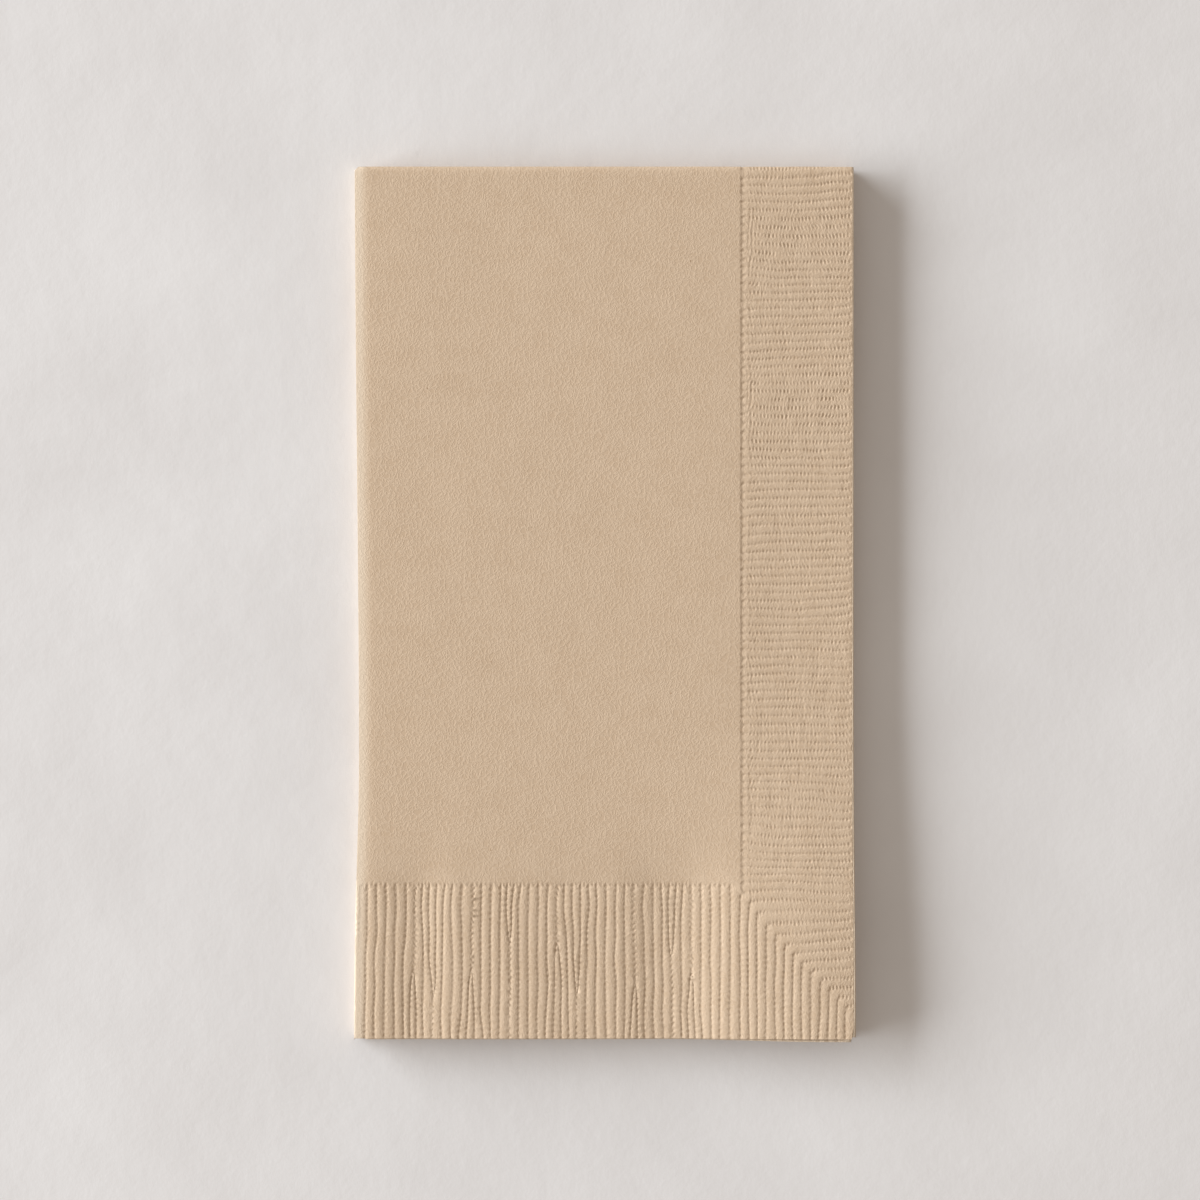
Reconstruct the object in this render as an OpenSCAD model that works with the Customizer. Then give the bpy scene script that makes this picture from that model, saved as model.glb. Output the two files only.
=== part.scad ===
// Paper guest towel: one tissue sheet, folded in thirds and then in half.
// An embossed border of ribs follows its cut side and its cut ends, and the
// two sets of ribs meet at a mitre. The sheet is one solid, and every layer,
// fold and rib has its own true section.
//
// The towel lies flat: +X points to the cut side, +Y to the end fold, +Z up.
// The origin is the middle of the footprint, on the surface it lies on.

/* [Towel] */
// Width of the folded towel, from the side fold to the inner fold
towel_w = 112.5; // [95:0.5:130]
// Length of the folded towel, from the cut ends to the end fold
towel_l = 197; // [160:1:230]
// Thickness of the tissue sheet
sheet_t = 0.45; // [0.4:0.05:0.6]
// Clear gap between neighbouring layers of one leaf
layer_gap = 0.45; // [0.45:0.05:0.8]
// Clear gap between the two leaves that the end fold joins
leaf_gap = 0.9; // [0.8:0.1:2]

/* [Cut edges] */
// How far the inner fold shows past the cut side, at the end fold
side_inset_fold = 0.3; // [0.1:0.1:1]
// How far the inner fold shows past the cut side, at the cut ends
side_inset_end = 1.2; // [0.3:0.1:2]
// How far the upper leaf stops short of the lower one, at the cut side
end_skew = 0.8; // [0.2:0.1:2]
// Distance from the side fold's centre to the tucked edge inside it
tuck_inset = 1.5; // [0.5:0.5:6]

/* [Embossed border] */
// Width of the border along the cut side
side_border = 25; // [15:0.5:29]
// Width of the border along the cut ends
end_border = 35; // [30:0.5:50]
// Pitch of the ribs, which is the same in both borders so that they meet at the mitre
rib_pitch = 2; // [1.8:0.05:2.6]
// Depth of the grooves between the ribs
groove_d = 0.24; // [0.1:0.02:0.3]
// How far the tops of the ribs lie below the plain paper, along the cut ends
end_drop = 0.03; // [0.02:0.01:0.04]
// How far the tops of the ribs lie below the plain paper, along the cut side
side_drop = 0.07; // [0.06:0.01:0.1]

/* [Hidden] */
$fn = 64;

// Facets across a rib on the faces that are seen, and on those between the layers
seen_facets = 3;
hidden_facets = 2;
// Sides of the polygon that rounds a fold between the layers
hidden_fold_sides = 12;
// Reach of the cutting prisms past the paper
past = 5;

// Each leaf has three layers, and the end fold turns about the middle plane
layer_pitch = sheet_t + layer_gap;
leaf_r = leaf_gap / 2 + 3 * sheet_t + 2 * layer_gap;
flap_r = leaf_r - sheet_t / 2;
tucked_r = flap_r - layer_pitch;
centre_r = tucked_r - layer_pitch;
axis_y = towel_l / 2 - leaf_r;
axis_z = leaf_r;

// The side fold wraps all three layers, and the inner fold joins two of them
side_fold_r = layer_pitch;
inner_fold_r = layer_pitch / 2;
side_fold_x = -towel_w / 2 + side_fold_r + sheet_t / 2;
inner_fold_x = towel_w / 2 - inner_fold_r - sheet_t / 2;
tucked_x = side_fold_x + tuck_inset;

// The border's outlines in the plane of the towel
cut_x = towel_w / 2 - min(side_inset_fold, side_inset_end);
border_x = cut_x - side_border;
cut_y = -towel_l / 2;
border_y = cut_y + end_border;
corner_y = border_y - side_border;

// Depth below the ribs' tops at a distance u along the paper, with a groove at 0
function rib_depth(u) =
    let (from_groove = abs(u / rib_pitch - round(u / rib_pitch)))
    groove_d * (1 - sin(180 * from_groove));

// Places from a to b where a ribbed face changes slope
function stations(a, b, facets) =
    let (step = rib_pitch / facets, small = step / 10)
    concat([a], [for (i = [ceil((a + small) / step) : floor((b - small) / step)]) i * step], [b]);

function reversed(list) = [for (i = [len(list) - 1 : -1 : 0]) list[i]];

// A ribbed layer's section: the points of its outer face, and then of its inner face
function ribbed_outline(a, b, facets) = concat(
    [for (u = stations(a, b, facets)) [u, -rib_depth(u)]],
    [for (u = reversed(stations(a, b, hidden_facets))) [u, -sheet_t - rib_depth(u)]]);

// A point of the cut side's border: s along the paper, n out of its outer face
function on_wrap(s, n) =
    let (turned = s - (axis_y - corner_y), r = leaf_r + n, a = turned / leaf_r * 180 / PI)
    turned < 0 ? [corner_y + s, r] : [axis_y + r * sin(a), r * cos(a)];

// One face of that border, from the upper leaf round the end fold to the lower
function wrap_face(sunk, facets) =
    let (half = axis_y - corner_y + leaf_r * PI / 2,
         upper = [for (s = stations(-rib_pitch, half, facets)) on_wrap(s, -sunk - rib_depth(s))])
    concat(upper, [for (i = [len(upper) - 2 : -1 : 0]) [upper[i].x, -upper[i].y]]);

// A flat layer from x0 to x1, its middle at r from the middle plane
module flat_layer(x0, x1, r) {
    translate([x0, r - sheet_t / 2]) square([x1 - x0, sheet_t]);
}

// A ribbed layer from x0 to x1, its grooves counted from the cut side
module ribbed_layer(x0, x1, r, facets) {
    translate([cut_x, r + sheet_t / 2 - end_drop])
        polygon(ribbed_outline(x0 - cut_x, x1 - cut_x, facets));
}

// A folded edge of radius r about [x, y], open towards the layers it joins
module fold(x, y, r, side) {
    translate([x, y]) difference() {
        circle(r + sheet_t / 2);
        circle(r - sheet_t / 2, $fn = hidden_fold_sides);
        translate([side > 0 ? -2 * r - sheet_t : 0, -r - sheet_t])
            square([2 * r + sheet_t, 2 * (r + sheet_t)]);
    }
}

module folds() {
    fold(side_fold_x, tucked_r, side_fold_r, -1);
    fold(inner_fold_x, (tucked_r + centre_r) / 2, inner_fold_r, 1, $fn = hidden_fold_sides);
}

// Section of one leaf where the paper is plain, up to the cut side's border
module plain_section() {
    flat_layer(side_fold_x, border_x, flap_r);
    flat_layer(tucked_x, inner_fold_x, tucked_r);
    flat_layer(side_fold_x, inner_fold_x, centre_r);
    folds();
}

// Section of one leaf in the border along the cut ends, without its flap
module inner_ribbed_section() {
    ribbed_layer(tucked_x, inner_fold_x, tucked_r, hidden_facets);
    ribbed_layer(side_fold_x, inner_fold_x, centre_r, hidden_facets);
    folds();
}

// Runs a leaf's section along the towel, from y0 to y1, on the upper side
module along_towel(y0, y1) {
    translate([0, y1, axis_z]) rotate([90, 0, 0]) linear_extrude(y1 - y0) children();
}

module on_lower_side() {
    translate([0, 0, axis_z]) mirror([0, 0, 1]) translate([0, 0, -axis_z]) children();
}

// Turns the leaf's section half round the end fold
module end_fold() {
    translate([0, axis_y, axis_z]) rotate([0, -90, 0])
        rotate_extrude(angle = 180) rotate(-90) plain_section();
}

// A prism through every layer, with the given outline in the towel's plane
module through_all(outline) {
    translate([0, 0, -past]) linear_extrude(2 * (leaf_r + past)) polygon(outline);
}

// The waste beyond the cut side, which runs slightly out of square
module beyond_cut_side() {
    through_all([
        [towel_w / 2 - side_inset_end, cut_y],
        [towel_w / 2 - side_inset_end, cut_y - past],
        [towel_w / 2 + past, cut_y - past],
        [towel_w / 2 + past, towel_l / 2 + past],
        [towel_w / 2 - side_inset_fold, towel_l / 2 + past],
        [towel_w / 2 - side_inset_fold, towel_l / 2],
    ]);
}

// The waste beyond the upper leaf's end, which runs slightly out of square
module beyond_upper_end() {
    through_all([
        [-towel_w / 2 - past, cut_y],
        [-towel_w / 2, cut_y],
        [towel_w / 2, cut_y + end_skew],
        [towel_w / 2 + past, cut_y + end_skew],
        [towel_w / 2 + past, cut_y - past],
        [-towel_w / 2 - past, cut_y - past],
    ]);
}

// The area on the end's side of the mitre, or on the cut side's side of it
module beside_mitre(towards_end) {
    reach = towards_end ? cut_y - past : towel_l;
    through_all([
        [border_x, border_y],
        [cut_x + past, corner_y - past],
        [cut_x + past, reach],
        [border_x, reach],
    ]);
}

// The flap's border along the cut side, in one run round the end fold
module side_border_strip() {
    difference() {
        translate([border_x, 0, axis_z]) rotate([90, 0, 90]) linear_extrude(side_border)
            polygon(concat(wrap_face(side_drop, seen_facets),
                           reversed(wrap_face(side_drop + sheet_t, hidden_facets))));
        beside_mitre(true);
        beyond_cut_side();
    }
}

// The flap's border along one cut end
module flap_end_border() {
    difference() {
        along_towel(cut_y, border_y) ribbed_layer(side_fold_x, cut_x, flap_r, seen_facets);
        beside_mitre(false);
        beyond_cut_side();
    }
}

module leaf_end() {
    flap_end_border();
    along_towel(cut_y, border_y) inner_ribbed_section();
}

module plain_leaf() {
    along_towel(border_y, axis_y) plain_section();
}

module towel() {
    color("tan") union() {
        plain_leaf();
        on_lower_side() plain_leaf();
        end_fold();
        side_border_strip();
        difference() {
            leaf_end();
            beyond_upper_end();
        }
        on_lower_side() leaf_end();
    }
}

towel();
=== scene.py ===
"""Paper guest towel: one sheet of tissue, folded in thirds and then in half.

The sheet is laid out flat as points (a, b), in millimetres: a runs from the flap's cut side
across the sheet to the tucked cut side, and b from the upper cut end to the lower one. Each
face is made into triangles while it is flat, and then folded and embossed by formula.

In the formulas s is the distance from the nearer cut end, x runs across the towel, and r is
the height of the sheet's outer face above the plane between the two leaves.
"""
import math

import bpy
import numpy as np
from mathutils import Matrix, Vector, geometry


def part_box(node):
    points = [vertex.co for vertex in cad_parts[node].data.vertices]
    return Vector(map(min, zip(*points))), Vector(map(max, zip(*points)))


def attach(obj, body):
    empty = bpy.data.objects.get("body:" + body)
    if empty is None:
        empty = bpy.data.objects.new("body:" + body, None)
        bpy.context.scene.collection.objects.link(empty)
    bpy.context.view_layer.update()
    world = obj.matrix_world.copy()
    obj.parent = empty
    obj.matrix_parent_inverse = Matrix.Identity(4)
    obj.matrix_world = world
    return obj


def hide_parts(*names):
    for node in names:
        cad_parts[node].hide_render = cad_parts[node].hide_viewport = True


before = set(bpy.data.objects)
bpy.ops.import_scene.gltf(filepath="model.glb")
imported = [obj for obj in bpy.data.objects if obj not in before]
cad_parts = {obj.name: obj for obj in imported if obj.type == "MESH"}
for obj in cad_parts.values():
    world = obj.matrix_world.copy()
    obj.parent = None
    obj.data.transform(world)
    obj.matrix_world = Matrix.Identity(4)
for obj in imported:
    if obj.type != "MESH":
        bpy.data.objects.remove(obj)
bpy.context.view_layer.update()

MM = 0.001
TAU = 2 * math.pi

# ---- The towel's sizes in millimetres, worked out from the frame ----
low, high = (np.array(corner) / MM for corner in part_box("towel"))
HALF_W = (high[0] - low[0]) / 2
HALF_L = (high[1] - low[1]) / 2
LEAF_R = (high[2] - low[2]) / 2
# In the CAD a leaf is three layers, two gaps and half of the gap to the other leaf, all alike
CAD_SHEET_T = LEAF_R / 6
LAYER_PITCH = 2 * CAD_SHEET_T
# The sheet is drawn thinner than that, and it thins out near its creases
SHEET_T = 0.28
CREASE_T = 0.1
CREASE_REACH = 0.8
# The outer face's height on the tucked panel, where it looks up, and on the centre one, where
# it looks down
TUCKED_R = LEAF_R - LAYER_PITCH - CAD_SHEET_T / 2 + SHEET_T / 2
CENTRE_R = LEAF_R - 2 * LAYER_PITCH - CAD_SHEET_T / 2 - SHEET_T / 2
# The end fold turns about a line at this y
AXIS_Y = HALF_L - LEAF_R
# How far the CAD's flap stops short of the inner fold, at the end fold and at the cut ends
SIDE_INSET = 0.3
SIDE_INSET_END = 1.2
CUT_X = HALF_W - SIDE_INSET
# The tucked panel's own cut side, inside the side fold
TUCKED_X = 2.6 - HALF_W
SIDE_BORDER = 25.0
END_BORDER = 35.0

# ---- Section across a leaf, along the sheet's outer face ----
# Towards the side fold the paper slopes down gently, and both folds are tight creases
SLOPE = math.radians(11)
SLOPE_BEND = 3.0
SLOPE_FLAT = 0.4
CREASE_R = 0.03
slope_r = SLOPE_BEND / SLOPE
SLOPE_DROP = slope_r * (1 - math.cos(SLOPE)) + SLOPE_FLAT * math.sin(SLOPE)
slope_reach = slope_r * math.sin(SLOPE) + SLOPE_FLAT * math.cos(SLOPE)
crease_turn = math.pi / 2 - SLOPE
crease_reach = CREASE_R * (1 - math.sin(SLOPE))
fold_height = LEAF_R - CENTRE_R - 2 * SLOPE_DROP - 2 * CREASE_R * math.cos(SLOPE)
FOLD_X = -HALF_W + slope_reach + crease_reach
INNER_R = 0.12
INNER_X = HALF_W - INNER_R
# Each stretch of the path is a length in mm and a turn in radians
STRETCHES = [
    (CUT_X - FOLD_X, 0),
    (SLOPE_BEND, SLOPE),
    (SLOPE_FLAT, 0),
    (CREASE_R * crease_turn, crease_turn),
    (fold_height, 0),
    (CREASE_R * crease_turn, crease_turn),
    (SLOPE_FLAT, 0),
    (SLOPE_BEND, SLOPE),
    (INNER_X - FOLD_X, 0),
    (INNER_R * math.pi / 2, math.pi / 2),
    (TUCKED_R - CENTRE_R - 2 * INNER_R, 0),
    (INNER_R * math.pi / 2, math.pi / 2),
    (INNER_X - TUCKED_X, 0),
]
# Where in a the slope, the side fold, the centre panel, the inner fold and the tucked panel
# start, and where the sheet ends
ends = np.cumsum([0.0] + [length for length, _ in STRETCHES])
A_SLOPE, A_FOLD, A_CENTRE, A_INNER, A_TUCKED, A_END = ends[[1, 3, 6, 9, 12, 13]]

# Lengths along the sheet: a leaf, and the end fold between the leaves
B_LEAF = AXIS_Y + HALF_L
B_FOLD = math.pi * LEAF_R
B_END = 2 * B_LEAF + B_FOLD

# ---- The embossed border ----
# Pitches of the ribs and of the rows, which are others where the two meet at the mitre
RIB_PITCH = 2.16
MITRE_RIB_PITCH = 1.95
ROW_PITCH = 1.88
MITRE_ROW_PITCH = 2.115
MITRE_ROWS = 14
CORNER_S = END_BORDER - MITRE_ROWS * MITRE_ROW_PITCH
# Rounds each turn from a rib to a row
MITRE_ROUNDING = 0.12
# Where there are no rows, their phase is behind the ribs' by this much
NO_ROWS = 9
# Spacing of the pits along a groove of the ribs, and of the strokes along a row
PIT_PITCH = 1.3
TICK_PITCH = 0.8
# Forks: how many, the rib where they begin, their width in ribs and their length
FORKS = 9
FIRST_FORK = 16
FORK_WIDTH = 4.0
FORK_LENGTH = 20.0
# Depths of the ribs' parts, and of the notches where the ribs start
RIB_CROWN = 0.068
RIB_GROOVE = 0.022
RIB_PIT = 0.198
RIB_NOTCH = 0.1
RIBS_SUNK = 0.04
# Depths of the rows' parts, of the dotted line and of the rows' rounded ends
ROW_CROWN = 0.04
ROW_GROOVE = 0.06
ROW_TICK = 0.19
WRINKLE = 0.03
LINE_DOT = 0.12
ROW_END = 0.15
DEEPEST = 0.22

# ---- How the sheet lies ----
# The cut side is pressed down by this much
CUT_DEPTH = 0.07
# Rise and reach of the curl in the edge that shows past the flap's end
CURL_RISE = 0.24
CURL = 0.4
# How far short of the towel's end the upper flap stops, the other layers at the left, and the
# inner fold where it shows past the cut side
FLAP_SHORT = 0.62
UNDER_SHORT = 0.4
SHOWN_SHORT = 1.1
# How far the side fold bows in, at which y the most, and how far its corner is pressed in
BOW = 1.1
BOW_Y = -35
PRESSED = 0.9
# How far the open corner is spread, and lifted
SPREAD = 0.35
OPEN_LIFT = 1.5
# Soft waves in the upper leaf's end border: where each begins in x, its width and its rise
WAVES = ((-52, 10, -0.3), (-42, 9, 0.35), (-25, 25, -0.25), (2, 11, -0.3), (18, 12, 0.48))
# The end fold is pressed nearly square: a circle has 2 here
SQUARENESS = 7

# ---- Where the points of the mesh lie ----
# An edge keeps its shading crisp with a second line of points this far from it
BY_EDGE = 0.08
BY_CREASE = 0.03
# The fine lines of points run on past the borders by this much
PAST_BORDER = 0.8
# Phases, within a rib or a row, of the points on each line across it in turn
RIB_LINES = (
    (0, 0.1, 0.22, 0.36, 0.5, 0.64, 0.78, 0.9),
    (0, 0.1, 0.9),
    (0, 0.1, 0.24, 0.9),
    (0, 0.1, 0.9),
)
ROW_LINES = (
    (0, 0.14, 0.3, 0.7, 0.86),
    (0, 0.17, 0.83),
)
PLAIN_LINES = ((0, 0.25, 0.5, 0.75), (0, 0.5))
# Steps along a border that is looked along for those phases
LOOK_STEP = 0.05
# Points nearer to each other than this are one point
SAME_POINT = 0.075
# Share of a step that a region's points keep clear of the regions before it
KEPT_CLEAR = 0.45

# ---- Looks ----
TISSUE_DARK = (0.568, 0.417, 0.284, 1)
TISSUE_PALE = (0.614, 0.463, 0.326, 1)
# A paler, less saturated tan painted on the slope by the side fold as a sheen
TISSUE_PAINTED_SHEEN = (0.587, 0.466, 0.345, 1)
FLECK = (0.38, 0.24, 0.14, 1)
FLOOR_DARK = (0.688, 0.654, 0.634, 1)
FLOOR_PALE = (0.742, 0.711, 0.692, 1)
# Numbers of the colour sockets on a Mix node
MIX_A = 6
MIX_B = 7
MIX_RESULT = 2


def hashed(i, j, seed):
    """A fixed number between 0 and 1 for each whole i and j."""
    n = (i * 374761393 + j * 668265263 + seed * 2246822519) & 0xFFFFFFFF
    n = ((n ^ (n >> 13)) * 1274126177) & 0xFFFFFFFF
    return ((n ^ (n >> 16)) & 0xFFFF) / 65535.0


def noise(p, q, seed):
    """Smooth noise between -1 and 1, with a fresh value at each whole p and q.

    noise(x / 9, s / 14, 11) has patches 9 mm wide and 14 mm long. Each use has its own seed.
    """
    i, j = np.floor(p).astype(np.int64), np.floor(q).astype(np.int64)
    f, g = p - i, q - j
    f, g = f * f * (3 - 2 * f), g * g * (3 - 2 * g)
    near = hashed(i, j, seed) * (1 - f) + hashed(i + 1, j, seed) * f
    far = hashed(i, j + 1, seed) * (1 - f) + hashed(i + 1, j + 1, seed) * f
    return 2 * (near * (1 - g) + far * g) - 1


def ease(value):
    """0 below 0, 1 above 1, and smooth between."""
    t = np.clip(value, 0, 1)
    return t * t * (3 - 2 * t)


def bell(value):
    """1 at 0, and falling smoothly to both sides."""
    return np.exp(-value * value)


def swing(turns):
    """1 at each whole turn, and 0 half way between them."""
    return 0.5 + 0.5 * np.cos(TAU * turns)


def rounded(offset):
    """The profile of a rib or a row: 0 on its crest and 1 in its groove, at offset 0."""
    from_crest = 1 - 2 * np.abs(offset)
    return (from_crest ** 2 + from_crest ** 4) / 2


def quarter(index, seed):
    """A step of 0 to 3 quarters for each groove, so that neighbours don't line up."""
    return np.floor(4 * hashed(index, 0, seed)) / 4


def forked(phase, s):
    """Ribs with their forks: each adds a rib that starts as a point between two others.

    Gives the new phase, and how many times closer together the ribs stand there.
    """
    added, closer = np.zeros_like(phase), np.ones_like(phase)
    first, last = FIRST_FORK, round(2 * HALF_W / RIB_PITCH) - 1
    for i in range(FORKS):
        middle = round(first + (last - first) * (i + hashed(i, 1, 3)) / FORKS)
        tip = END_BORDER * (0.2 + 0.6 * hashed(i, 2, 3))
        way = 1 if i % 2 else -1
        width = FORK_WIDTH * np.clip((s - tip) * way / FORK_LENGTH, 0.001, 1)
        across = (phase - middle) / width + 0.5
        added += np.clip(across, 0, 1)
        closer += (across > 0) * (across < 1) / width
    return phase + added, closer


def border_phase(x, s, with_side, fine):
    """The ribs' phase and how much closer they stand at forks, and the rows' phase.

    The ribs of the end border run along the towel, and the rows of the side border across
    it, at x, s mm from the cut end. A groove lies where a phase is a whole number. with_side
    says whether there are rows, and fine whether there are forks.
    """
    u = CUT_X - x
    wander = 0.26 * noise(x / 9, s / 14, 11) + 0.24 * noise(x / 3, s / 6, 12)
    rib = u / RIB_PITCH + np.minimum(u, SIDE_BORDER) * (1 / MITRE_RIB_PITCH - 1 / RIB_PITCH)
    rib, closer = rib + wander / RIB_PITCH, np.ones_like(x)
    if fine:
        rib, closer = forked(rib, s)
    if not with_side:
        return rib, closer, rib - NO_ROWS
    w = s - CORNER_S
    mitre_w = MITRE_ROWS * MITRE_ROW_PITCH
    row = np.where(w < mitre_w, w / MITRE_ROW_PITCH, MITRE_ROWS + (w - mitre_w) / ROW_PITCH)
    bent = 0.85 * ease(w / 20) * noise(x / 14, s / 11, 13) + 0.2 * noise(x / 4, s / 4, 14)
    return rib, closer, row + bent / ROW_PITCH


def rib_depth(x, s, rib_phase, closer, index, offset, fine):
    """Depth of the ribs: rounded crests, and narrow grooves with small pits along them."""
    into_end = END_BORDER - s
    strength = 0.9 + 0.4 * noise(x / 4, s / 9, 15)
    pit = 0.5
    if fine:
        place = s / PIT_PITCH + quarter(index, 5)
        pit = swing(place + 0.2 * noise(x / 2, s / 3, 17))
    # Each rib starts as a point, and there are two small notches a rib where they start
    point = 1 - ease((into_end - 0.3) / 2.2)
    groove_w = 0.12 + 0.16 * pit + 0.3 * point
    from_groove = offset * RIB_PITCH / closer
    ribs = strength * (RIB_GROOVE + RIB_PIT * pit ** 2) * bell(from_groove / groove_w)
    ribs = ribs + RIB_CROWN * rounded(offset)
    notch = swing(2 * rib_phase) ** 2 * bell((into_end - 0.35) / 0.45)
    return ribs * ease(into_end / 0.7) + RIB_NOTCH * notch


def row_depth(x, s, row_phase, index, offset, fine):
    """Depth of the rows: short strokes across each groove, long ones where the rows fade."""
    blur = ease(1.6 * noise(x / 40, s / 13, 16) + 0.1)
    across = offset * ROW_PITCH
    tick, vigour, reach, wrinkle = 0.35, 1, 0.5, 0
    if fine:
        lean = 0.5 * across * noise(x / 5, s / 5, 19)
        drift = 0.3 * noise(x / 3, s / 1.6, 18) + quarter(index, 6)
        tick = swing(x / TICK_PITCH + drift + lean)
        vigour = 0.8 + 0.5 * noise(x / 1.7, s / 1.7, 20)
        reach = 0.4 + 0.3 * blur + 0.12 * noise(x / 0.9, s / 5, 21)
        wrinkle = bell(noise(x / 2.4, s / 7, 23) / 0.2) * ease(2.5 * noise(x / 13, s / 19, 24))
    rows = ROW_TICK * vigour * tick * bell(across / reach)
    rows = rows + ROW_GROOVE * bell(across / 0.22) * (1 - blur)
    rows = rows + ROW_CROWN * rounded(offset) * (1 - 0.5 * blur) + WRINKLE * wrinkle

    # The side border starts with a dotted line, and each row starts with a rounded end
    into_side = SIDE_BORDER - (CUT_X - x)
    dots = 0.2 + 0.8 * swing(1.5 * row_phase + 0.4 * noise(x, s / 2, 22))
    from_line = into_side - 0.1
    line = np.where(from_line < 0, bell(from_line / 0.22), bell(from_line / 0.6))
    rows = rows * ease((into_side - 1.0) / 1.2) + LINE_DOT * dots * line
    return rows + ROW_END * bell(across / 0.35) * bell((into_side - 0.9) / 0.7)


def border_depth(x, s, with_side, fine):
    """How far the paper is pressed in at x, s mm from the cut end."""
    rib_phase, closer, row_phase = border_phase(x, s, with_side, fine)
    # The greater of the two phases makes each rib turn into a row at the mitre
    lead = row_phase - rib_phase
    phase = (rib_phase + row_phase + np.sqrt(lead * lead + MITRE_ROUNDING)) / 2
    to_row = ease(0.5 + lead / 0.5)
    index = np.round(phase).astype(np.int64)
    offset = phase - index
    ribs = rib_depth(x, s, rib_phase, closer, index, offset, fine)
    rows = row_depth(x, s, row_phase, index, offset, fine)
    into_side = SIDE_BORDER - (CUT_X - x)
    side_part = ease(into_side / 0.5 + 0.8) if with_side else 0
    sunk = RIBS_SUNK * ease((END_BORDER - s) / 0.5) * (1 - to_row)
    return np.minimum(ribs * (1 - to_row) + rows * to_row * side_part + sunk, DEEPEST)


def cut_shift(s):
    """How far the flap is short of its full width, s mm from the cut end."""
    corner = (SIDE_INSET_END - SIDE_INSET) / 2
    return 0.15 * np.clip(1 - s / (2 * HALF_L), 0, 1) + corner * (1 - ease(s / 3))


def flap_x(a, s):
    """Where the flap's points lie across the towel."""
    return CUT_X - a - cut_shift(s) * np.maximum(1 - a / A_SLOPE, 0)


def section(a, s):
    """Places x and r of points across a leaf, and the direction out of its outer face."""
    x, r = CUT_X - a, np.full_like(a, LEAF_R)
    facing = np.full_like(a, math.pi)
    at, way, start = np.array([CUT_X, LEAF_R]), math.pi, 0.0
    for length, turn in STRETCHES:
        here = (a >= start) & (a <= start + length + 1e-6)
        run = a[here] - start
        if turn:
            radius, angle = length / turn, way + turn * run / length
            x[here] = at[0] + radius * (np.sin(angle) - math.sin(way))
            r[here] = at[1] - radius * (np.cos(angle) - math.cos(way))
            bent = way + turn
            moved = np.array([math.sin(bent) - math.sin(way), math.cos(way) - math.cos(bent)])
            at = at + radius * moved
        else:
            angle = way
            x[here] = at[0] + run * math.cos(way)
            r[here] = at[1] + run * math.sin(way)
            at = at + length * np.array([math.cos(way), math.sin(way)])
        facing[here] = angle
        way, start = way + turn, start + length
    x = np.where(a < A_SLOPE, flap_x(a, s), x)
    return x, r, np.sin(facing), -np.cos(facing)


def pulled_in(x, y):
    """How far the bowed side fold, a pressed corner and the open corner move the paper to +x."""
    away = y - BOW_Y
    bow = BOW * np.exp(-0.5 * (away / np.where(away < 0, 22, 65)) ** 2)
    corner = PRESSED * np.clip(y - HALF_L + 1, 0, 1)
    share = (HALF_W - SIDE_BORDER - x) / (2 * HALF_W - SIDE_BORDER)
    spread = SPREAD * ease((x - 20) / 35) * ease((-35 - y) / 60)
    return bow * np.clip(share, 0, 1) + corner * np.clip(1 - (x + HALF_W) / 2, 0, 1) + spread


def lifted(x, y):
    """How far the upper leaf stands off the lower one, and the soft waves in its end border."""
    open_corner = OPEN_LIFT * ease((x - 10) / 40) * ease((-14 - y) / 70)
    waves = sum(rise * ease((x - start) / width) for start, width, rise in WAVES)
    return open_corner + waves * ease((-50 - y) / 16)


def thickness(a):
    """The sheet's thickness: it is pressed thin at its creases."""
    by_side = 1 - np.maximum(A_FOLD - a, a - A_CENTRE) / CREASE_REACH
    by_inner = 1 - np.maximum(A_INNER - a, a - A_TUCKED) / CREASE_REACH
    return SHEET_T - (SHEET_T - CREASE_T) * ease(np.maximum(by_side, by_inner))


def end_turn(share):
    """The end fold's sine and cosine, at each share of its length."""
    angle = np.linspace(0, math.pi, 721)
    total = np.abs(np.cos(angle)) ** SQUARENESS + np.abs(np.sin(angle)) ** SQUARENESS
    reach = total ** (-1 / SQUARENESS)
    steps = np.hypot(np.diff(reach * np.sin(angle)), np.diff(reach * np.cos(angle)))
    run = np.concatenate([[0], np.cumsum(steps)])
    at = np.interp(share * run[-1], run, angle)
    return np.interp(at, angle, reach * np.sin(angle)), np.interp(at, angle, reach * np.cos(angle))


def embossed(a, s, x, upper, outer):
    """Depth of the embossing, which is in full on the upper face and in its cut edges."""
    on_flap = a < A_FOLD
    to_cut = np.minimum(s, a)
    fine = upper & on_flap & (outer | (to_cut < 0.01))
    at = np.where(on_flap, flap_x(a, s), x)
    depth = np.zeros_like(a)
    for group, with_side, detailed in (
        (fine, True, True),
        (on_flap & ~fine, True, False),
        (~on_flap, False, False),
    ):
        depth[group] = border_depth(at[group], s[group], with_side, detailed)
    if not outer:
        depth = depth * ease(1 - (to_cut - 1) / 5)
    return depth


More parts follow.
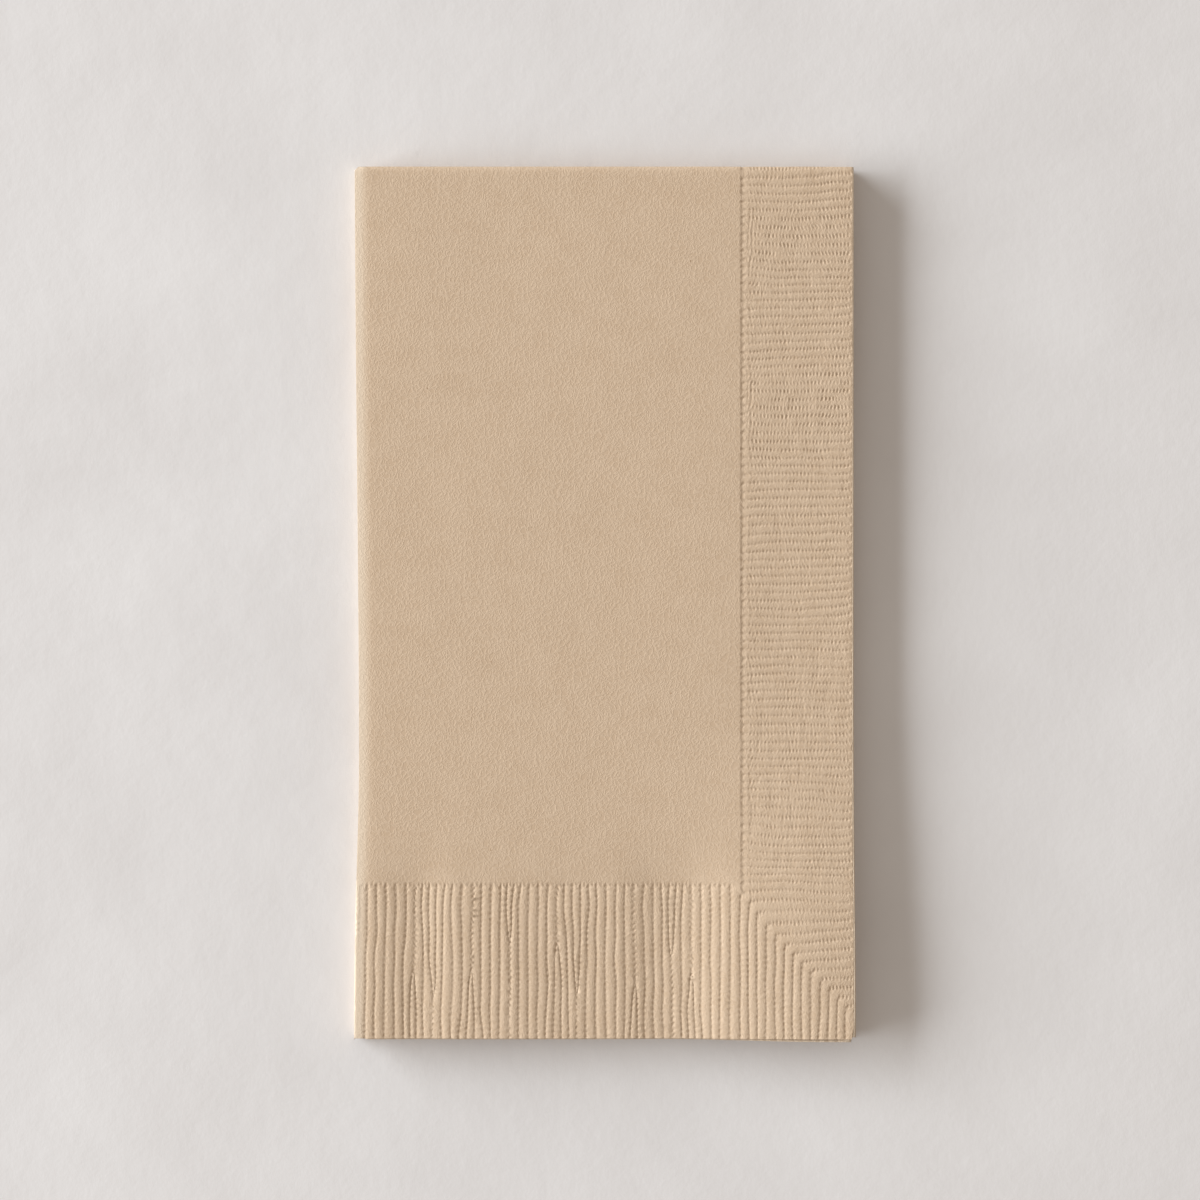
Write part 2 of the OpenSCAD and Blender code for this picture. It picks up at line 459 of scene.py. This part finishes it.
def fold_up(points, outer):
    """Folds flat points (a, b), of the sheet's outer face or of its inner one."""
    a, b = points[:, 0], points[:, 1]
    s = np.minimum(b, B_END - b)
    upper = b < B_END / 2
    on_flap = a < A_FOLD
    x, r, out_x, out_r = section(a, s)
    flat_r = r
    past_cut = x - (CUT_X - cut_shift(s))
    shown = ease((past_cut + 0.15) / 0.15)

    # The cut side is pressed down. The layers under the flap are plain where they turn, and
    # where they show past the cut side
    depth = embossed(a, s, x, upper, outer)
    by_cut = ease((a - 0.05) / 0.5)
    by_side = ease((x + HALF_W - 0.7) / 0.5)
    flap_depth = (depth * by_cut + CUT_DEPTH * (1 - by_cut)) * by_side
    under_depth = depth * ease((np.abs(out_r) - 0.9) * 10) * (1 - shown)
    depth = np.where(on_flap, flap_depth, under_depth)

    # The flap is puffed up a little here and there
    puff = 0.05 * noise(x / 23, s / 31, 31) + 0.02 * noise(x / 8, s / 9, 32)
    puff = puff * upper * on_flap * ease((HALF_W - np.abs(x)) / 12) * ease(s / 12)
    puff = puff * ease((B_LEAF - b) / 12)

    # The inner fold stands as high as the flap where it shows past the cut side
    tucked = ease((r - CENTRE_R) / (TUCKED_R - CENTRE_R)) * (a > A_CENTRE + 5)
    closed = (0.7 + 0.25 * upper * ease((x - 18) / 20)) * ease(1 - s / 5)
    lift = (LEAF_R - SHEET_T - 0.05 - TUCKED_R) * np.maximum(ease((past_cut + 5) / 4), closed)
    curl = CURL_RISE * upper * ease(1 - s / CURL) * ease((x - 28) / 12)
    lift = lift + np.maximum((SHEET_T - 0.03) * shown, curl)
    r = r - depth + puff + tucked * lift
    if not outer:
        x, r = x - out_x * thickness(a), r - out_r * thickness(a)

    # The flap's end is straight, and the layers under it show past it, most of all at the right
    under = UNDER_SHORT * (1 - ease((x - 18) / 34)) + SHOWN_SHORT * shown
    end_y = np.where(on_flap & upper, FLAP_SHORT, under) - HALF_L
    y = AXIS_Y - (1 - np.minimum(s / B_LEAF, 1)) * (AXIS_Y - end_y)

    # Both leaves and the end fold between them
    sine, cosine = end_turn(np.clip((b - B_LEAF) / B_FOLD, 0, 1))
    z = LEAF_R + r * cosine + lifted(x, y) * upper
    past_fold = 2 * SLOPE_DROP * np.clip((A_CENTRE - a) / (A_CENTRE - A_FOLD), 0, 1)
    slope = np.where(on_flap, LEAF_R - flat_r, past_fold)
    y = y + (r + np.minimum(slope, SLOPE_DROP)) * sine
    return np.stack([x + pulled_in(x, y), y, z], 1)


def whole_phases(places, phase, wanted):
    """Places on a line where the phase is a whole number plus one of the wanted parts."""
    step = np.diff(phase)
    way = np.sign(phase[-1] - phase[0])
    travelled = np.concatenate([[0], np.cumsum(step - np.round(step))]) * way
    rising = np.maximum.accumulate(travelled)
    parts = np.array(wanted) if phase[-1] > phase[0] else -np.array(wanted)
    first = phase[0] * way
    counts = np.arange(math.floor(first) - 1, math.ceil(first + rising[-1]) + 2)
    targets = (counts[:, None] + parts[None, :]).ravel() - first
    targets = np.sort(targets[(targets > 0) & (targets < rising[-1])])
    return np.interp(targets, rising, places)


def steps_across(border, spacing):
    """Numbers of the lines of points in a border, and their distances from its cut edge."""
    return enumerate([0, BY_EDGE, *np.arange(spacing, border + PAST_BORDER, spacing)])


def rib_points(spacing, lines, fine):
    """Points on the flap's end border, on lines across the ribs."""
    made = []
    run = np.append(np.arange(0, A_FOLD, LOOK_STEP), A_FOLD)
    for number, s in steps_across(END_BORDER, spacing):
        # The lines by both edges of the border have all their points
        near_edge = s > END_BORDER - 2.5 or number < 2
        rib, _, row = border_phase(flap_x(run, s), np.full_like(run, s), True, fine)
        a = whole_phases(run, rib, lines[0] if near_edge else lines[number % len(lines)])
        # They end at the mitre, where the rows' phase takes the lead, and by the side fold
        a = a[(np.interp(a, run, row - rib) < 0.2) & (a < A_FOLD - 0.2)]
        sides = [0, BY_EDGE] if row[0] - rib[0] < 0.2 else []
        made += [(value, s) for value in (*a, *sides)]
    return made


def row_points(spacing, lines, fine):
    """Points on the flap's side border, on lines across the rows."""
    made = []
    run = np.append(np.arange(0, B_END / 2, LOOK_STEP), B_END / 2)
    for number, a in steps_across(SIDE_BORDER, spacing):
        near_edge = a > SIDE_BORDER - 2.6 or number < 2
        rib, _, row = border_phase(flap_x(a, run), run, True, fine)
        s = whole_phases(run, row, lines[0] if near_edge else lines[number % len(lines)])
        s = s[np.interp(s, run, row - rib) > -0.2]
        made += [(a, value) for value in (*s, run[-1])]
    return made


def spaced(points, gap):
    """The points that come first in their own square of the given size."""
    _, first = np.unique(np.round(points / gap).astype(np.int64), axis=0, return_index=True)
    return points[np.sort(first)]


def staggered(a0, a1, b0, b1, step_a, step_b):
    """Points of one rectangle, with every other row moved half a step along."""
    columns = max(1, round((a1 - a0) / step_a))
    rows = max(1, round((b1 - b0) / step_b))
    grid_a, grid_b = np.meshgrid(np.linspace(a0, a1, columns + 1), np.linspace(b0, b1, rows + 1))
    grid_a[1::2, 1:-1] += (a1 - a0) / columns / 2 if columns > 1 else 0
    return np.stack([grid_a.ravel(), grid_b.ravel()], 1)


def lay_out(regions, made, taken):
    """The points already made, and those of each region that lie clear of what comes before it."""
    kept = [made]
    for number, region in enumerate(regions):
        points = staggered(*region)
        near_a, near_b = KEPT_CLEAR * region[4], KEPT_CLEAR * region[5]
        for a0, a1, b0, b1, *_ in taken + regions[:number]:
            beside = (points[:, 0] > a0 - near_a) & (points[:, 0] < a1 + near_a)
            beside &= (points[:, 1] > b0 - near_b) & (points[:, 1] < b1 + near_b)
            points = points[~beside]
        kept.append(points)
    return np.concatenate(kept)


def on_rim(points):
    """Which of the points lie on the flat sheet's edge."""
    a, b = points[:, 0], points[:, 1]
    return (a == 0) | (a == A_END) | (b == 0) | (b == B_END)


def drawn_out(points):
    """The points with the two folds made wide, so that triangles run along them."""
    a = points[:, 0].copy()
    for (first, last), widening in ((CREASE, 30), (SIDE_FOLD, 10), (INNER_FOLD, 25)):
        a += (widening - 1) * np.clip(points[:, 0] - first, 0, last - first)
    return np.stack([a, points[:, 1]], 1)


def triangles_of(points):
    """Triangles over flat points, all turned the same way."""
    flat = [Vector(p) for p in drawn_out(points)]
    faces = np.array(geometry.delaunay_2d_cdt(flat, [], [], 0, 1e-7)[2])
    p, q, r = (points[faces[:, i]] for i in range(3))
    area = (q[:, 0] - p[:, 0]) * (r[:, 1] - p[:, 1]) - (q[:, 1] - p[:, 1]) * (r[:, 0] - p[:, 0])
    faces[area < 0] = faces[area < 0][:, ::-1]
    return faces[np.abs(area) > 1e-9]


def rim_loop(points):
    """Numbers of the rim's points in their order round the sheet."""
    a, b = points[:, 0], points[:, 1]
    rim = np.flatnonzero(on_rim(points))
    place = np.select(
        [b[rim] == 0, a[rim] == A_END, b[rim] == B_END],
        [a[rim], A_END + b[rim], 2 * A_END + B_END - a[rim]],
        2 * (A_END + B_END) - b[rim],
    )
    return rim[np.argsort(place)]


# Areas that the borders' own points fill, and the limits of the folds
BORDER_AREAS = [
    (0, SIDE_BORDER + PAST_BORDER, 0, B_END),
    (0, A_FOLD - 0.3, 0, END_BORDER + PAST_BORDER),
    (0, A_FOLD - 0.3, B_END - END_BORDER - PAST_BORDER, B_END),
]
CREASE = (A_FOLD - BY_CREASE, A_FOLD)
SIDE_FOLD = (A_FOLD, A_CENTRE + 1)
INNER_FOLD = (A_INNER - 1, A_TUCKED + 1.6)
END_FOLD = (B_LEAF, B_LEAF + B_FOLD)
# Regions of points on each face, finest first: the limits in a and in b, and the two steps
OUTER_REGIONS = [
    (*CREASE, *END_FOLD, BY_CREASE, 0.4),
    (*CREASE, 0, B_END, BY_CREASE, 1.2),
    (*SIDE_FOLD, *END_FOLD, 0.25, 0.4),
    (*SIDE_FOLD, 0, B_END, 0.25, 2.5),
    (A_SLOPE - 0.5, A_FOLD, *END_FOLD, 0.7, 0.4),
    (A_SLOPE - 0.5, A_FOLD, 0, B_END, 0.8, 2.5),
    (*INNER_FOLD, *END_FOLD, 0.15, 0.5),
    (*INNER_FOLD, 0, B_END, 0.15, 6),
    (A_CENTRE, A_END, 0, CURL, 1, CURL / 4),
    (0, A_END, *END_FOLD, 4, 0.4),
    (0, A_FOLD, 0, B_END / 2, 3, 3),
    (A_CENTRE, A_END, 0, 3, 1, 1.5),
    (A_CENTRE, A_END, B_END - 3, B_END, 1.5, 1.5),
    (0, A_END, 0, B_END, 6, 6),
]
INNER_REGIONS = [
    (0, A_FOLD, 0, 4, 0.6, 1.5),
    (0, A_FOLD, B_END - 4, B_END, 1.5, 2),
    (*SIDE_FOLD, *END_FOLD, 0.3, 0.8),
    (*SIDE_FOLD, 0, B_END, 0.3, 4),
    (*INNER_FOLD, *END_FOLD, 0.3, 0.8),
    (*INNER_FOLD, 0, B_END, 0.3, 7),
    (0, A_END, *END_FOLD, 6, 0.5),
    (A_CENTRE, A_END, 0, 3, 1, 1.5),
    (A_CENTRE, A_END, B_END - 3, B_END, 1.5, 1.5),
    (0, A_END, 0, B_END, 7, 7),
]


def flat_points():
    """Points of the flat sheet's outer face and of its inner one, with the same rim."""
    # The upper leaf's borders are seen from above, so they have far more points
    upper = rib_points(PIT_PITCH / 4, RIB_LINES, True) + row_points(TICK_PITCH / 3.4, ROW_LINES, True)
    lower = rib_points(3, PLAIN_LINES, False) + row_points(3, PLAIN_LINES, False)
    lower = [(a, B_END - b) for a, b in lower if b < B_END / 2]
    borders = spaced(np.array(upper + lower), SAME_POINT)
    outer = lay_out(OUTER_REGIONS, borders, BORDER_AREAS)
    inner = lay_out(INNER_REGIONS, np.zeros((0, 2)), [])
    inner = np.concatenate([inner[~on_rim(inner)], outer[on_rim(outer)]])
    return outer, inner


def make_sheet():
    """The folded sheet: its two faces, and a strip of triangles that joins their rims."""
    outer, inner = flat_points()
    outer_faces = triangles_of(outer)
    inner_faces = triangles_of(inner)[:, ::-1] + len(outer)
    outer_rim, inner_rim = rim_loop(outer), rim_loop(inner) + len(outer)
    next_outer, next_inner = np.roll(outer_rim, -1), np.roll(inner_rim, -1)
    rim_faces = np.concatenate([
        np.stack([outer_rim, inner_rim, next_inner], 1),
        np.stack([outer_rim, next_inner, next_outer], 1),
    ])
    # The fold maps a to -x, so each face is turned over to look outwards
    faces = np.concatenate([outer_faces, inner_faces, rim_faces])[:, ::-1]
    places = np.concatenate([fold_up(outer, True), fold_up(inner, False)]) * MM

    mesh = bpy.data.meshes.new("tissue_sheet")
    mesh.from_pydata(places.tolist(), [], faces.tolist())
    # The two faces are shaded smooth, and the strip round the rim flat
    smooth = np.full(len(faces), True)
    smooth[len(faces) - len(rim_faces):] = False
    mesh.polygons.foreach_set("use_smooth", smooth)
    flat_map = mesh.uv_layers.new(name="flat_sheet")
    corners = np.concatenate([outer, inner])[faces.ravel()] * MM
    flat_map.data.foreach_set("uv", corners.ravel())
    mesh.update()
    sheet = bpy.data.objects.new("tissue_sheet", mesh)
    bpy.context.collection.objects.link(sheet)
    return sheet


def node(tree, kind, inputs=None, **settings):
    """A new node, with its settings and the values or links of its inputs."""
    made = tree.nodes.new(kind)
    for name, value in settings.items():
        setattr(made, name, value)
    for name, value in (inputs or {}).items():
        if isinstance(value, bpy.types.NodeSocket):
            tree.links.new(value, made.inputs[name])
        else:
            made.inputs[name].default_value = value
    return made


def calculated(tree, operation, *values):
    """The result of a Math node."""
    return node(tree, "ShaderNodeMath", dict(enumerate(values)), operation=operation).outputs[0]


def noise_in(tree, place, **inputs):
    """The value of a Noise Texture node."""
    made = node(tree, "ShaderNodeTexNoise", {"Vector": place, **inputs})
    return made.outputs["Fac"]


def mixed(tree, factor, colour, other):
    """A colour that turns into another one as the factor rises."""
    inputs = {"Factor": factor, MIX_A: colour, MIX_B: other}
    return node(tree, "ShaderNodeMix", inputs, data_type="RGBA").outputs[MIX_RESULT]


def ramp(tree, factor, dark_at, dark, pale_at, pale):
    """A colour between a dark tone and a pale one."""
    made = node(tree, "ShaderNodeValToRGB", {"Fac": factor})
    first, last = made.color_ramp.elements
    first.position, first.color = dark_at, dark
    last.position, last.color = pale_at, pale
    return made.outputs["Color"]


def matte_material(name, specular):
    """A new material, its node tree and its shader."""
    material = bpy.data.materials.new(name)
    material.use_nodes = True
    shader = material.node_tree.nodes["Principled BSDF"]
    shader.inputs["Roughness"].default_value = 0.95
    shader.inputs["Specular IOR Level"].default_value = specular
    return material, material.node_tree, shader


def finish_shader(tree, shader, colour, height, distance):
    """Gives a shader its colour, and bump of the given height in metres."""
    bump = node(tree, "ShaderNodeBump", {"Strength": 1.0, "Distance": distance, "Height": height})
    tree.links.new(bump.outputs["Normal"], shader.inputs["Normal"])
    tree.links.new(colour, shader.inputs["Base Color"])


def fibres(tree, flat):
    """Curled lines that cross each other, on the edges of two sets of cells."""
    warp = node(tree, "ShaderNodeTexNoise", {"Vector": flat, "Scale": 950, "Detail": 1})
    warped = {0: warp.outputs["Color"], "Scale": 0.0018}
    pull = node(tree, "ShaderNodeVectorMath", warped, operation="SCALE").outputs[0]
    curled = node(tree, "ShaderNodeVectorMath", {0: flat, 1: pull}, operation="ADD").outputs[0]
    ridges = []
    for scale in (880, 690):
        cells = node(
            tree, "ShaderNodeTexVoronoi",
            {"Vector": curled, "Scale": scale},
            feature="DISTANCE_TO_EDGE", voronoi_dimensions="2D",
        )
        ridge = node(
            tree, "ShaderNodeMapRange",
            {"Value": cells.outputs["Distance"], "From Max": 0.14, "To Min": 1.0, "To Max": 0.0},
            interpolation_type="SMOOTHSTEP",
        )
        ridges.append(ridge.outputs["Result"])
    return calculated(tree, "MAXIMUM", *ridges)


def flecks(tree, flat):
    """1 on tiny dots, one in each of a few cells."""
    cells = node(tree, "ShaderNodeTexVoronoi", {"Vector": flat, "Scale": 220})
    split = node(tree, "ShaderNodeSeparateColor", {"Color": cells.outputs["Color"]})
    near = calculated(tree, "LESS_THAN", cells.outputs["Distance"], 0.035)
    chosen = calculated(tree, "LESS_THAN", split.outputs[0], 0.14)
    return calculated(tree, "MULTIPLY", near, chosen)


def tissue_material():
    """Tan tissue with its fibres, cloudy tone, flecks and a painted sheen by the side fold."""
    material, tree, shader = matte_material("tan_tissue", 0.15)
    flat = node(tree, "ShaderNodeUVMap", uv_map="flat_sheet").outputs["UV"]
    strokes = fibres(tree, flat)

    # The tone is cloudy, and a little paler along the fibres
    mottle = noise_in(tree, flat, Scale=160, Detail=4, Roughness=0.7)
    tone = calculated(tree, "MULTIPLY_ADD", strokes, 0.4, mottle)
    colour = ramp(tree, tone, 0.41, TISSUE_DARK, 0.81, TISSUE_PALE)
    # A painted sheen: the tan is paler and less saturated on the slope to the side fold, where the
    # window's highlight falls
    across = node(tree, "ShaderNodeSeparateXYZ", {"Vector": flat}).outputs["X"]
    bent = node(
        tree, "ShaderNodeMapRange",
        {"Value": across, "From Min": (A_FOLD - 3.4) * MM, "From Max": (A_FOLD - 0.6) * MM},
        interpolation_type="SMOOTHSTEP",
    )
    colour = mixed(tree, bent.outputs["Result"], colour, TISSUE_PAINTED_SHEEN)
    colour = mixed(tree, flecks(tree, flat), colour, FLECK)

    grain = noise_in(tree, flat, Scale=1500, Detail=2)
    lumps = noise_in(tree, flat, Scale=330, Detail=1)
    raised = calculated(tree, "MULTIPLY_ADD", grain, 0.5, strokes)
    raised = calculated(tree, "MULTIPLY_ADD", lumps, 0.25, raised)
    finish_shader(tree, shader, colour, raised, 0.025 * MM)
    return material


def floor_material():
    """Pale plaster, a little cloudy and uneven."""
    material, tree, shader = matte_material("pale_plaster", 0.1)
    place = node(tree, "ShaderNodeTexCoord").outputs["Object"]
    cloud = noise_in(tree, place, Scale=22, Detail=8)
    colour = ramp(tree, cloud, 0.3, FLOOR_DARK, 0.7, FLOOR_PALE)
    marks = noise_in(tree, place, Scale=90, Detail=8, Roughness=0.65)
    finish_shader(tree, shader, colour, marks, 0.12 * MM)
    return material


def make_floor():
    """A flat floor that runs far past the camera's view."""
    reach = 4.0
    mesh = bpy.data.meshes.new("floor")
    corners = [(-reach, -reach, 0), (reach, -reach, 0), (reach, reach, 0), (-reach, reach, 0)]
    mesh.from_pydata(corners, [], [(0, 1, 2, 3)])
    mesh.materials.append(floor_material())
    floor = bpy.data.objects.new("floor", mesh)
    bpy.context.collection.objects.link(floor)


def make_camera():
    """Straight down, and a little left of and beyond the middle of the towel."""
    frame_width, distance = 0.27, 0.7
    left, beyond = 0.86 * MM, 0.82 * MM
    camera = bpy.data.cameras.new("camera")
    camera.sensor_width = 36
    camera.lens = camera.sensor_width * distance / frame_width
    rig = bpy.data.objects.new("camera", camera)
    rig.location = (-left, beyond, distance + LEAF_R * 2 * MM)
    bpy.context.collection.objects.link(rig)
    bpy.context.scene.camera = rig


def make_light():
    """A low, wide window on the left, and a warmer fill from all round."""
    distance, elevation, azimuth = 4.75, math.radians(15.4), math.radians(11.5)
    lamp = bpy.data.lights.new("window", "AREA")
    lamp.shape = "RECTANGLE"
    lamp.size = 5.93
    lamp.size_y = 1.76
    lamp.energy = 600
    lamp.color = (0.93, 1.0, 1.07)
    towards = Vector((
        -math.cos(elevation) * math.cos(azimuth),
        math.cos(elevation) * math.sin(azimuth),
        math.sin(elevation),
    ))
    window = bpy.data.objects.new("window", lamp)
    window.location = towards * distance
    window.rotation_euler = towards.to_track_quat("Z", "Y").to_euler()
    bpy.context.collection.objects.link(window)
    world = bpy.data.worlds.new("fill")
    world.use_nodes = True
    background = world.node_tree.nodes["Background"]
    background.inputs["Color"].default_value = (1.0, 0.91, 0.82, 1)
    background.inputs["Strength"].default_value = 0.47
    bpy.context.scene.world = world


make_camera()
make_light()
make_floor()
towel = make_sheet()
towel.data.materials.append(tissue_material())
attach(towel, "root")
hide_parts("towel")

bpy.context.scene.view_settings.view_transform = "Standard"
